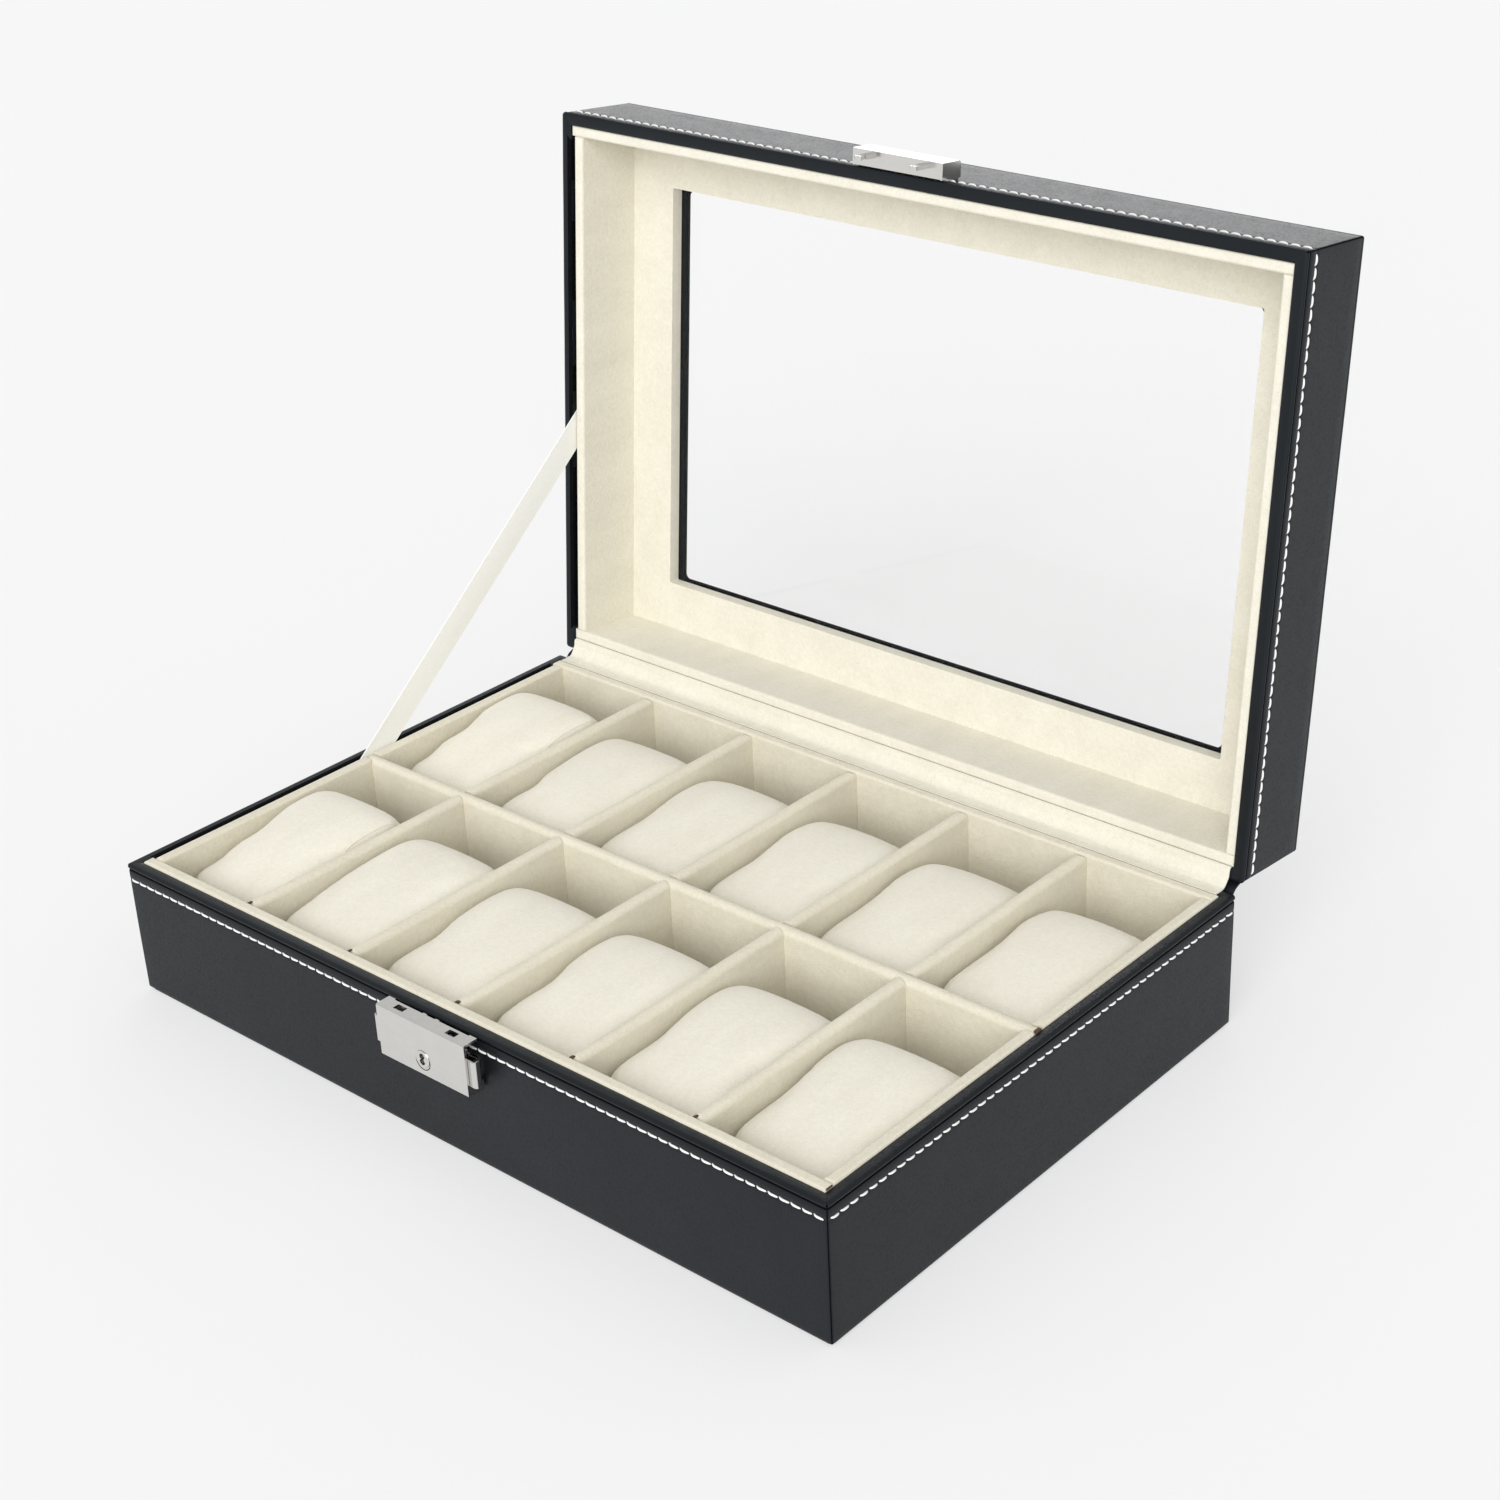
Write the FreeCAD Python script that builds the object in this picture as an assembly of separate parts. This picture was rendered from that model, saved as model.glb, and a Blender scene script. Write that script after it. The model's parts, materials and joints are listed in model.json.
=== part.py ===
import FreeCAD, Part
import math
import os

# Watch box with twelve compartments and a glass window in its lid.
# Frame: origin at the centre of the base's underside, +Z up, the lock faces -Y.
# Lid parts are drawn with the lid shut and are then swung open about the hinge line.

# ---- driving dimensions, millimetres and degrees ----
box_width = 300.0            # outside, along X
box_depth = 200.0            # outside, along Y
base_height = 48.3           # underside to the base's rim
lid_height = 33.7            # the lid's rim to its top
parting_gap = 0.6            # between the two rims when shut
open_angle = 95.5            # the ribbon stops the lid here
hinge_behind = 2.5           # hinge line behind the back wall
hinge_below = 0.2            # hinge line under the base's rim

leather = 0.5                # thickness of the outer covering
wall_board = 3.4             # fibreboard walls
corner_radius = 1.4
rim_radius = 0.9
felt = 0.8                   # cover under the base
felt_inset = 1.0
bottom_board = 3.0
floor_pad_height = 1.7
wrap_turn_in = 12.0          # leather folded under the base board

lip = 3.9                    # velvet-covered liner boards
lip_rise = 0.5               # base liners stand above the base's rim
lip_recess = 0.8             # lid liners stay behind the lid's rim
lip_radius = 1.0
ribbon_gap = 1.2             # slot beside the left liners for the ribbon

divider = 4.5                # thickness of every divider
divider_radius = 2.1
divider_pitch = 48.2
cross_dividers = 5
divider_drop = 0.2           # divider tops below the liner tops

pillow_length = 72.5         # front to back
pillow_front_top = 29.0      # pillow height at its front, above its own bottom
pillow_back_top = 41.5       # pillow height at its shoulder
pillow_shoulder = 60.0       # shoulder's distance from the pillow's front
pillow_back_fall = 4.0       # the back edge is this much under the shoulder
pillow_edge_radius = 5.0
pillow_side_gap = 0.5
pillow_floor_gap = 0.3

window_margin_x = 31.2       # leather edge of the window, from the lid's sides
window_margin_y = 27.0
window_radius = 2.0
panel_margin_x = 28.0        # the velvet panel's opening, from the lid's sides
panel_margin_y = 25.8
panel_radius = 0.5
top_board = 1.2              # the glass lies in a cut-out of this board
glass_overlap = 8.0          # the glass reaches this far past the leather's edge
glass_gap = 0.2
panel_board = 4.6

lock_width = 38.0
lock_shift = -0.5            # the lock sits this far off the box's middle
lock_height = 18.0
lock_projection = 7.0
lock_flange = 4.9            # depth of the lock's top, which stops short of the leather
flange_ear = (3.0, 0.5)      # width and extra depth of the top's two ends
flange_tab = (1.6, 0.4)      # the same of two small tabs on its rear edge
flange_tab_x = (-3.8, 1.6)   # where the tabs start
fold_radius = 0.6            # the case's folded edges
plate = 0.8                  # sheet thickness of the lock and catch
back_plate_inset = 1.5       # the lock's back plate is narrower than the lock
back_plate_drop = 7.2        # and lower, below the stitching
hook_x = 11.2                # the hooks and their holes, either side of the lock's middle
hook_hole = (4.0, 2.3)
hook_hole_inset = 2.75       # hole centre to the lock's front face
hook_size = (2.8, 1.4)
hook_drop = 5.0
hook_tip_radius = 0.9
hook_notch = (1.0, 0.8, 1.1) # depth into the hook, room under and over the latch's lower face
latch_drop = 3.2             # the latch's lower face, below the base's rim
latch = (0.8, 1.2)           # reach of the latch's tip and thickness of its arm
latch_half_depth = 0.6
rivet = 0.6                  # radius of the hooks' rivets
rivet_head = (1.1, 0.6)      # radius and height
button_sheet = 0.5
button_radius = 0.9
button_height = 9.0
button_depth = 2.8
button_out = 2.9
button_centre_z = 38.5
button_flange_in = 3.5       # the button's stop flange, inside the case's end
button_flange_extra = (1.0, 1.2)  # how far the flange passes the tab, below and above
barrel_radius = 2.9
barrel_z = 36.3
barrel_proud = 0.3
barrel_edge = 0.25
keyhole = (1.05, 0.95, 3.0)  # radius of its two bores, offset from the middle, depth
cam = (1.0, 0.9, 4.4)        # half width, thickness, reach below the barrel's middle
running_gap = 0.05
spring_sheet = 0.3
spring_folds = 4
spring_gaps = (1.8, 0.3)     # to the barrel, to the button's flange
spring_low_high = (-1.5, 2.5)
spring_inset = 1.0           # spring's sides, inside the button's

catch_width = 36.4
catch_shift = 0.3
catch_height = 9.5
catch_projection = 6.2
catch_flange = 5.2           # depth of the catch's face towards the lock
catch_radius = 1.2
catch_back_rise = 2.0        # the catch's back plate starts above the lid's rim

strip_width = 288.0          # hinge strips, along X
strip = 0.5
velvet_strip = 0.3
glue_gap = 0.02
leather_bend = 3.9           # radius of the outer strip's bend
leather_bend_drop = 4.5      # where its bend starts, below the base's rim
leather_on_base = 14.0       # length glued to the base's back
leather_on_lid = (6.0, 18.0) # glued to the lid's back between these depths
velvet_bend = 2.4
velvet_on_lid = (1.2, 3.6)   # reach of the inner strip on the lid's rim

ribbon_width = 10.0
ribbon = 0.4
ribbon_base_y = 5.0          # where the ribbon leaves the base
ribbon_lid_reach = 84.0      # where it enters the lid, from the lid's back face
ribbon_tuck = 12.0           # length glued inside each slot

# ---- derived values ----
half_w = box_width / 2
half_d = box_depth / 2
rim = leather + wall_board
hinge_y = half_d + hinge_behind
hinge_z = base_height - hinge_below
lid_z = base_height + parting_gap
lid_top_z = lid_z + lid_height
inner_w = half_w - rim
inner_d = half_d - rim
floor_z = felt + leather + bottom_board
pad_z = floor_z + floor_pad_height
liner_top = base_height + lip_rise
divider_top = liner_top - divider_drop
left_face = -inner_w + ribbon_gap + lip
right_face = inner_w - lip
cell_d = inner_d - lip
divider_xs = [(i - (cross_dividers - 1) / 2) * divider_pitch for i in range(cross_dividers)]
glass_z = lid_top_z - leather - top_board
panel_z = glass_z - panel_board

over = 1.0                   # how far a cutting tool passes the face it cuts
fit = 0.05                   # gap on each side of a fitted piece

V = FreeCAD.Vector
os.makedirs("parts", exist_ok=True)


def block(x0, x1, y0, y1, z0, z1):
    return Part.makeBox(x1 - x0, y1 - y0, z1 - z0, V(x0, y0, z0))


def centred(half_x, half_y, z0, z1):
    return block(-half_x, half_x, -half_y, half_y, z0, z1)


def along(edge, axis):
    """True where a straight edge runs along the axis, "x", "y" or "z"."""
    box = edge.BoundBox
    lengths = {"x": box.XLength, "y": box.YLength, "z": box.ZLength}
    others = [lengths[key] for key in lengths if key != axis]
    return lengths[axis] > 1e-3 and max(others) < 1e-3


def fillet(shape, radius, chosen):
    edges = [edge for edge in shape.Edges if chosen(edge)]
    return shape.makeFillet(radius, edges)


def at_z(edge, z):
    """True for an edge that lies flat at height z."""
    return edge.BoundBox.ZLength < 1e-3 and abs(edge.BoundBox.ZMin - z) < 1e-3


def prism_x(points, x0, x1):
    """A closed outline of (y, z) points, extruded along X."""
    wire = Part.makePolygon([V(x0, y, z) for y, z in points + points[:1]])
    return Part.Face(wire).extrude(V(x1 - x0, 0, 0))


def prism_y(points, y0, y1):
    """A closed outline of (x, z) points, extruded along Y."""
    wire = Part.makePolygon([V(x, y0, z) for x, z in points + points[:1]])
    return Part.Face(wire).extrude(V(0, y1 - y0, 0))


def pin_y(x, z, radius, y0, y1):
    return Part.makeCylinder(radius, y1 - y0, V(x, y0, z), V(0, 1, 0))


def rounded(half_x, half_y, z0, z1, radius):
    """An upright block with round vertical corners."""
    return fillet(centred(half_x, half_y, z0, z1), radius, lambda edge: along(edge, "z"))


def opened(shape):
    """Swings a lid part from shut to fully open."""
    moved = shape.copy()
    moved.rotate(V(0, hinge_y, hinge_z), V(-1, 0, 0), open_angle)
    return moved


def lid_point(reach, depth):
    """(y, z) with the lid open: reach from the lid's back face, depth from its rim."""
    angle = math.radians(open_angle)
    dy = half_d - reach - hinge_y
    dz = lid_z + depth - hinge_z
    y = hinge_y + dy * math.cos(angle) + dz * math.sin(angle)
    z = hinge_z - dy * math.sin(angle) + dz * math.cos(angle)
    return y, z


def band(path, near, far):
    """The outline of a sheet that follows a path, between two offsets to the path's left."""
    def offset(distance):
        made = []
        last = len(path) - 1
        for i, (a, b) in enumerate(path):
            steps = [(path[i][0] - path[i - 1][0], path[i][1] - path[i - 1][1])] if i > 0 else []
            steps += [(path[i + 1][0] - a, path[i + 1][1] - b)] if i < last else []
            normals = [(-db / math.hypot(da, db), da / math.hypot(da, db)) for da, db in steps]
            na = sum(n[0] for n in normals)
            nb = sum(n[1] for n in normals)
            scale = distance * len(normals) / (na * na + nb * nb)
            made.append((a + na * scale, b + nb * scale))
        return made
    return offset(near) + offset(far)[::-1]


def save(name, shape):
    shape.exportStep("parts/" + name + ".step")
    print(name, round(shape.Volume, 1), shape.isValid(), len(shape.Solids))


# ---- nail positions of the lock and the catch ----
nail_radius = 0.6
nail_head = (1.3, 0.6)
nail_length = 3.2
lock_nails = [(lock_shift + side * 12.5, z) for side in (-1, 1) for z in (32.6, 39.4)]
catch_nails = [(catch_shift + side * 15.0, lid_z + catch_height / 2) for side in (-1, 1)]


def nails(places):
    """Round-head nails through a back plate into the front wall."""
    head_y = -half_d - plate
    made = []
    for x, z in places:
        shank = pin_y(x, z, nail_radius, head_y, head_y + plate + nail_length)
        head = pin_y(x, z, nail_head[0], head_y - nail_head[1], head_y)
        made.append(shank.fuse(head).removeSplitter())
    return made


def nail_holes(places):
    y0 = -half_d - plate - fit
    y1 = -half_d + nail_length + fit
    return Part.makeCompound([pin_y(x, z, nail_radius, y0, y1) for x, z in places])


# ---- base shell ----
def base_walls():
    z0 = felt + leather
    z1 = base_height - leather
    out_x = half_w - leather
    out_y = half_d - leather
    front = block(-out_x, out_x, -out_y, -inner_d, z0, z1).cut(nail_holes(lock_nails))
    save("base_front", front)
    save("base_back", block(-out_x, out_x, inner_d, out_y, z0, z1))
    save("base_left", block(-out_x, -inner_w, -inner_d, inner_d, z0, z1))
    save("base_right", block(inner_w, out_x, -inner_d, inner_d, z0, z1))
    save("base_bottom", centred(inner_w, inner_d, z0, floor_z))


def base_leather_wrap():
    outer = rounded(half_w, half_d, felt, base_height, corner_radius)
    outer = fillet(outer, rim_radius, lambda edge: at_z(edge, base_height))
    hollow = centred(half_w - leather, half_d - leather, felt + leather, base_height - leather)
    mouth = centred(inner_w, inner_d, base_height - over, base_height + over)
    under = centred(half_w - wrap_turn_in, half_d - wrap_turn_in, felt - over, felt + over)
    wrap = outer.cut(hollow).cut(mouth).cut(under).cut(nail_holes(lock_nails))
    save("base_leather_wrap", wrap)


def base_bottom_felt():
    cover = rounded(half_w - felt_inset, half_d - felt_inset, 0, felt, corner_radius)
    save("base_bottom_felt", cover)


# ---- liners, floor and dividers ----
def soft_top(shape, z, radius):
    """Rounds every top edge at height z."""
    return fillet(shape, radius, lambda edge: at_z(edge, z))


def base_liners():
    end_notch = divider / 2 + fit
    notch_z = (pad_z + divider_top) / 2
    front = block(-inner_w, inner_w, -inner_d, -cell_d, floor_z, liner_top)
    back = block(-inner_w, inner_w, cell_d, inner_d, floor_z, liner_top)
    left = block(left_face - lip, left_face, -cell_d, cell_d, floor_z, liner_top)
    right = block(right_face, inner_w, -cell_d, cell_d, floor_z, liner_top)
    notch = block(-half_w, half_w, -end_notch, end_notch, notch_z, liner_top + over)
    save("liner_front", soft_top(front, liner_top, lip_radius))
    save("liner_back", soft_top(back, liner_top, lip_radius))
    save("liner_left", soft_top(left, liner_top, lip_radius).cut(notch))
    save("liner_right", soft_top(right, liner_top, lip_radius).cut(notch))
    save("floor_pad", block(left_face, right_face, -cell_d, cell_d, floor_z, pad_z))


def divider_slot(x, z0, z1):
    half = divider / 2 + fit
    return block(x - half, x + half, -half_d, half_d, z0, z1)


def long_divider():
    """Runs from side to side; its ends sit in notches in the side liners."""
    middle = (pad_z + divider_top) / 2
    half = divider / 2
    body = block(left_face + fit, right_face - fit, -half, half, pad_z, divider_top)
    ears = block(left_face - lip, inner_w, -half, half, middle + fit, divider_top)
    board = soft_top(body.fuse(ears).removeSplitter(), divider_top, divider_radius)
    for x in divider_xs:
        board = board.cut(divider_slot(x, pad_z - over, middle))
    save("long_divider", board)


def cross_divider(number, x):
    """Runs from front to back and is slotted from above over the long divider."""
    middle = (pad_z + divider_top) / 2
    half = divider / 2
    slot = half + fit
    board = block(x - half, x + half, -cell_d + fit, cell_d - fit, pad_z, divider_top)
    board = soft_top(board, divider_top, divider_radius)
    board = board.cut(block(x - divider, x + divider, -slot, slot, middle, divider_top + over))
    save("cross_divider_%d" % number, board)


# ---- pillows ----
def cell_spans():
    """The six compartments of a row, as (low x, high x)."""
    lows = [left_face] + [x + divider / 2 for x in divider_xs]
    highs = [x - divider / 2 for x in divider_xs] + [right_face]
    return list(zip(lows, highs))


def pillow(number, x0, x1, y0):
    """A plain closed solid of a pillow's size: low in front, with a high round back."""
    z0 = pad_z + pillow_floor_gap
    outline = [(y0, z0), (y0 + pillow_length, z0),
               (y0 + pillow_length, z0 + pillow_back_top - pillow_back_fall),
               (y0 + pillow_shoulder, z0 + pillow_back_top), (y0, z0 + pillow_front_top)]
    body = prism_x(outline, x0 + pillow_side_gap, x1 - pillow_side_gap)
    body = fillet(body, pillow_edge_radius, lambda edge: along(edge, "x"))
    save("pillow_%02d" % number, body)


def pillows():
    rows = (-cell_d + pillow_side_gap, divider / 2 + pillow_side_gap)
    number = 1
    for y0 in rows:
        for x0, x1 in cell_spans():
            pillow(number, x0, x1, y0)
            number += 1


# ---- lid ----
def lid_walls():
    z0 = lid_z + leather
    z1 = glass_z
    out_x = half_w - leather
    out_y = half_d - leather
    front = block(-out_x, out_x, -out_y, -inner_d, z0, z1).cut(nail_holes(catch_nails))
    save("lid_front", opened(front))
    save("lid_back", opened(block(-out_x, out_x, inner_d, out_y, z0, z1)))
    save("lid_left", opened(block(-out_x, -inner_w, -inner_d, inner_d, z0, z1)))
    save("lid_right", opened(block(inner_w, out_x, -inner_d, inner_d, z0, z1)))


def lid_top():
    """The top board, the glass in its cut-out and the velvet panel under both."""
    z1 = lid_top_z - leather
    glass_x = half_w - window_margin_x + glass_overlap
    glass_y = half_d - window_margin_y + glass_overlap
    board = centred(half_w - leather, half_d - leather, glass_z, z1)
    cut_out = centred(glass_x + glass_gap, glass_y + glass_gap, glass_z - over, z1 + over)
    save("lid_top_board", opened(board.cut(cut_out)))
    save("glass_pane", opened(centred(glass_x, glass_y, glass_z, z1)))
    panel = centred(inner_w, inner_d, panel_z, glass_z)
    opening = rounded(half_w - panel_margin_x, half_d - panel_margin_y,
                      panel_z - over, glass_z + over, panel_radius)
    save("lid_inner_panel", opened(panel.cut(opening)))


def lid_leather_wrap():
    outer = rounded(half_w, half_d, lid_z, lid_top_z, corner_radius)
    outer = fillet(outer, rim_radius, lambda edge: at_z(edge, lid_z) or at_z(edge, lid_top_z))
    hollow = centred(half_w - leather, half_d - leather, lid_z + leather, lid_top_z - leather)
    mouth = centred(inner_w, inner_d, lid_z - over, lid_z + over)
    window = rounded(half_w - window_margin_x, half_d - window_margin_y,
                     lid_top_z - over, lid_top_z + over, window_radius)
    wrap = outer.cut(hollow).cut(mouth).cut(window).cut(nail_holes(catch_nails))
    save("lid_leather_wrap", opened(wrap))


def lid_liners():
    z0 = lid_z + lip_recess
    sides = {
        "lid_liner_front": block(-inner_w, inner_w, -inner_d, -cell_d, z0, panel_z),
        "lid_liner_back": block(-inner_w, inner_w, cell_d, inner_d, z0, panel_z),
        "lid_liner_left": block(left_face - lip, left_face, -cell_d, cell_d, z0, panel_z),
        "lid_liner_right": block(right_face, inner_w, -cell_d, cell_d, z0, panel_z),
    }
    for name, side in sides.items():
        save(name, opened(soft_top(side, z0, lip_radius)))


# ---- lock on the base ----
lock_half = lock_width / 2
lock_low = base_height - lock_height
lock_front = -half_d - lock_projection
flange_rear = lock_front + lock_flange
hook_y = lock_front + hook_hole_inset
button_low = button_centre_z - button_height / 2
button_high = button_centre_z + button_height / 2
button_y0 = lock_front + plate + 2 * fit
button_y1 = button_y0 + button_depth
button_end = lock_half + button_out
button_flange_x = lock_half - button_flange_in
latch_z = base_height - latch_drop


def save_lock(name, shape, side=1):
    """Saves a lock part that was drawn about X = 0; side -1 mirrors it first."""
    if side < 0:
        shape = shape.mirror(V(0, 0, 0), V(1, 0, 0))
    moved = shape.copy()
    moved.translate(V(lock_shift, 0, 0))
    save(name, moved)


def lock_top():
    """The case's top: two deeper ends and two small tabs on its rear edge."""
    top = block(-lock_half, lock_half, lock_front, flange_rear, base_height - plate, base_height)
    extras = [(-lock_half, flange_ear), (lock_half - flange_ear[0], flange_ear)]
    extras += [(x0, flange_tab) for x0 in flange_tab_x]
    for x0, (width, deeper) in extras:
        top = top.fuse(block(x0, x0 + width, flange_rear - over, flange_rear + deeper,
                             base_height - plate, base_height))
    return top.removeSplitter()


def lock_case():
    """A folded sheet: front, top, bottom and two low ends; it is open beside the buttons."""
    front = block(-lock_half, lock_half, lock_front, lock_front + plate, lock_low, base_height)
    bottom = block(-lock_half, lock_half, lock_front, -half_d - plate, lock_low, lock_low + plate)
    shell = front.fuse(lock_top()).fuse(bottom)
    for x0 in (-lock_half, lock_half - plate):
        shell = shell.fuse(block(x0, x0 + plate, lock_front, -half_d - plate,
                                 lock_low, button_low - plate / 2))
    shell = shell.removeSplitter()
    shell = fillet(shell, fold_radius,
                   lambda edge: along(edge, "x") and edge.BoundBox.YMax < lock_front + 1e-3)
    for side in (-1, 1):
        x = side * hook_x
        hole = block(x - hook_hole[0] / 2, x + hook_hole[0] / 2, hook_y - hook_hole[1] / 2,
                     hook_y + hook_hole[1] / 2, base_height - plate - over, base_height + over)
        shell = shell.cut(hole)
    shell = shell.cut(pin_y(0, barrel_z, barrel_radius + running_gap,
                            lock_front - over, lock_front + plate + over))
    save_lock("lock_case", shell)
    back_half = lock_half - back_plate_inset
    back = block(lock_shift - back_half, lock_shift + back_half, -half_d - plate, -half_d,
                 lock_low, base_height - back_plate_drop)
    save("lock_back_plate", back.cut(nail_holes(lock_nails)))
    save("lock_nails", Part.makeCompound(nails(lock_nails)))


def button(name, side):
    """A folded tab with a flange inside the case and a latch arm to the hook."""
    inside = button_flange_x
    tab = block(inside, button_end, button_y0, button_y1, button_low, button_high)
    tab = fillet(tab, button_radius,
                 lambda edge: along(edge, "z") and edge.BoundBox.XMin > inside + over)
    tab = tab.cut(block(inside - over, button_end - button_sheet, button_y0 + button_sheet,
                        button_y1 - button_sheet, button_low - over, button_high + over))
    flange = block(inside, inside + plate, button_y0, button_y1,
                   button_low - button_flange_extra[0], button_high + button_flange_extra[1])
    tip, thick = latch
    riser = hook_x - hook_size[0] / 2 - 0.3
    arm_low = base_height - hook_drop - 2.0
    arm = [(inside + over / 2, arm_low), (inside + over / 2, arm_low + thick), (riser, arm_low + thick),
           (riser, latch_z - 0.5), (riser + tip, latch_z - 0.5), (riser + tip, latch_z),
           (riser - 0.2, latch_z + 0.9), (riser - thick, latch_z + 0.9), (riser - thick, arm_low)]
    arm = prism_y(arm, hook_y - latch_half_depth, hook_y + latch_half_depth)
    save_lock(name, tab.fuse(flange).fuse(arm).removeSplitter(), side)


def button_spring(name, side):
    """A folded leaf spring between the key barrel and the button's flange."""
    x0 = barrel_radius + spring_gaps[0]
    x1 = button_flange_x - spring_gaps[1]
    path = [(x0 + (x1 - x0) * i / spring_folds, barrel_z + spring_low_high[i % 2])
            for i in range(spring_folds + 1)]
    outline = band(path, -spring_sheet / 2, spring_sheet / 2)
    shape = prism_y(outline, button_y0 + spring_inset, button_y1 - spring_inset)
    save_lock(name, shape, side)


def key_barrel():
    """A round barrel with a keyhole of two joined bores, and a cam behind the springs."""
    face = lock_front - barrel_proud
    barrel = pin_y(0, barrel_z, barrel_radius, face, -half_d - plate - barrel_proud)
    barrel = fillet(barrel, barrel_edge, lambda edge: abs(edge.BoundBox.YMax - face) < 1e-3)
    cam_y = button_y1 + running_gap
    arm = block(-cam[0], cam[0], cam_y, cam_y + cam[1], barrel_z - cam[2], barrel_z - cam[0])
    bore, offset, depth = keyhole
    for z in (barrel_z - offset, barrel_z + offset):
        barrel = barrel.cut(pin_y(0, z, bore, face - over, face + depth))
    save_lock("key_barrel", barrel.fuse(arm).removeSplitter())


# ---- catch on the lid ----
def catch():
    x0 = catch_shift - catch_width / 2
    x1 = catch_shift + catch_width / 2
    y0 = -half_d - catch_projection
    z1 = lid_z + catch_height
    shell = block(x0, x1, y0, -half_d - plate, lid_z, z1)
    shell = fillet(shell, catch_radius,
                   lambda edge: at_z(edge, z1) and along(edge, "x") and edge.BoundBox.YMax < y0 + 1e-3)
    shell = shell.cut(block(x0 + plate, x1 - plate, y0 + plate, -half_d, lid_z + plate, z1 - plate))
    shell = shell.cut(block(x0 + plate, x1 - plate, y0 + catch_flange, -half_d,
                            lid_z - over, lid_z + over))
    rivet_holes = [Part.makeCylinder(rivet, plate + over, V(lock_shift + side * hook_x, hook_y, lid_z))
                   for side in (-1, 1)]
    save("catch_case", opened(shell.cut(Part.makeCompound(rivet_holes))))
    back = block(x0 + plate, x1 - plate, -half_d - plate, -half_d, lid_z + catch_back_rise, z1)
    save("catch_back_plate", opened(back.cut(nail_holes(catch_nails))))
    save("catch_nails", opened(Part.makeCompound(nails(catch_nails))))
    save("catch_hooks", opened(Part.makeCompound([hook(side) for side in (-1, 1)])))


def hook(side):
    """A flat hook, notched on its inner side and riveted to the catch."""
    x = lock_shift + side * hook_x
    half_x = hook_size[0] / 2
    low = base_height - hook_drop
    shank = block(x - half_x, x + half_x, hook_y - hook_size[1] / 2, hook_y + hook_size[1] / 2,
                  low, lid_z)
    shank = fillet(shank, hook_tip_radius, lambda edge: at_z(edge, low) and along(edge, "y"))
    inner_x = x - side * half_x
    notch = block(inner_x - hook_notch[0], inner_x + hook_notch[0], hook_y - over, hook_y + over,
                  latch_z - hook_notch[1], latch_z + hook_notch[2])
    stem = Part.makeCylinder(rivet, plate, V(x, hook_y, lid_z))
    head = Part.makeCylinder(rivet_head[0], rivet_head[1], V(x, hook_y, lid_z + plate))
    return shank.cut(notch).fuse(stem).fuse(head).removeSplitter()


# ---- soft hinge and ribbon ----
def arc_points(centre, radius, start, end, steps):
    """Points of an arc in the (y, z) plane, angles in degrees."""
    angles = [math.radians(start + (end - start) * i / steps) for i in range(steps + 1)]
    return [(centre[0] + radius * math.cos(a), centre[1] + radius * math.sin(a)) for a in angles]


def hinge_strips():
    """Thin bands along the hinge line: leather outside, velvet inside."""
    half = strip_width / 2
    # leather: up the base's back, round the outside of the hinge line, along the lid's back
    wall_y = half_d + glue_gap
    bend_z = base_height - leather_bend_drop
    path = [(wall_y, bend_z - leather_on_base), (wall_y, bend_z)]
    path += arc_points((wall_y + leather_bend, bend_z + 0.6), leather_bend, 178, 100, 5)
    path += [lid_point(-glue_gap, depth) for depth in leather_on_lid]
    save("hinge_leather", prism_x(band(path[::-1], 0, strip), -half, half))
    # velvet: along the base's rim, up over the hinge line, along the lid's rim
    rim_z = base_height + glue_gap
    on_lid = [lid_point(reach, -glue_gap) for reach in velvet_on_lid]
    bend_y = on_lid[0][0] - velvet_bend - 0.2
    path = [(inner_d + 0.1, rim_z), (bend_y - 0.6, rim_z)]
    path += arc_points((bend_y, rim_z + velvet_bend), velvet_bend, 285, 345, 4)
    path += on_lid
    save("hinge_velvet", prism_x(band(path, 0, velvet_strip), -half, half))


def ribbon_stay():
    """A flat satin ribbon, pulled tight between the two slots on the left."""
    x = -inner_w + ribbon_gap / 2
    low = (ribbon_base_y, base_height)
    high = lid_point(ribbon_lid_reach, 0)
    length = math.dist(low, high)
    along_y = (high[0] - low[0]) / length
    along_z = (high[1] - low[1]) / length
    start = (low[0] - along_y * ribbon_tuck, low[1] - along_z * ribbon_tuck)
    end = (high[0] + along_y * ribbon_tuck, high[1] + along_z * ribbon_tuck)
    side = (-along_z * ribbon_width / 2, along_y * ribbon_width / 2)
    outline = [(start[0] + side[0], start[1] + side[1]), (end[0] + side[0], end[1] + side[1]),
               (end[0] - side[0], end[1] - side[1]), (start[0] - side[0], start[1] - side[1])]
    save("ribbon_stay", prism_x(outline, x - ribbon / 2, x + ribbon / 2))
    print("ribbon visible length", round(length, 1))


base_walls()
base_leather_wrap()
base_bottom_felt()
base_liners()
long_divider()
for number, divider_x in enumerate(divider_xs, start=1):
    cross_divider(number, divider_x)
pillows()
lid_walls()
lid_top()
lid_leather_wrap()
lid_liners()
lock_case()
button("left_button", -1)
button("right_button", 1)
button_spring("left_spring", -1)
button_spring("right_spring", 1)
key_barrel()
catch()
hinge_strips()
ribbon_stay()
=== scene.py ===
"""Looks of the watch box: leather outside, velvet inside, pillows, stitching, window, lock, ribbon."""
import json
import math
import random

import bmesh
import bpy
from mathutils import Matrix, Vector, noise
from mathutils.bvhtree import BVHTree


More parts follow.
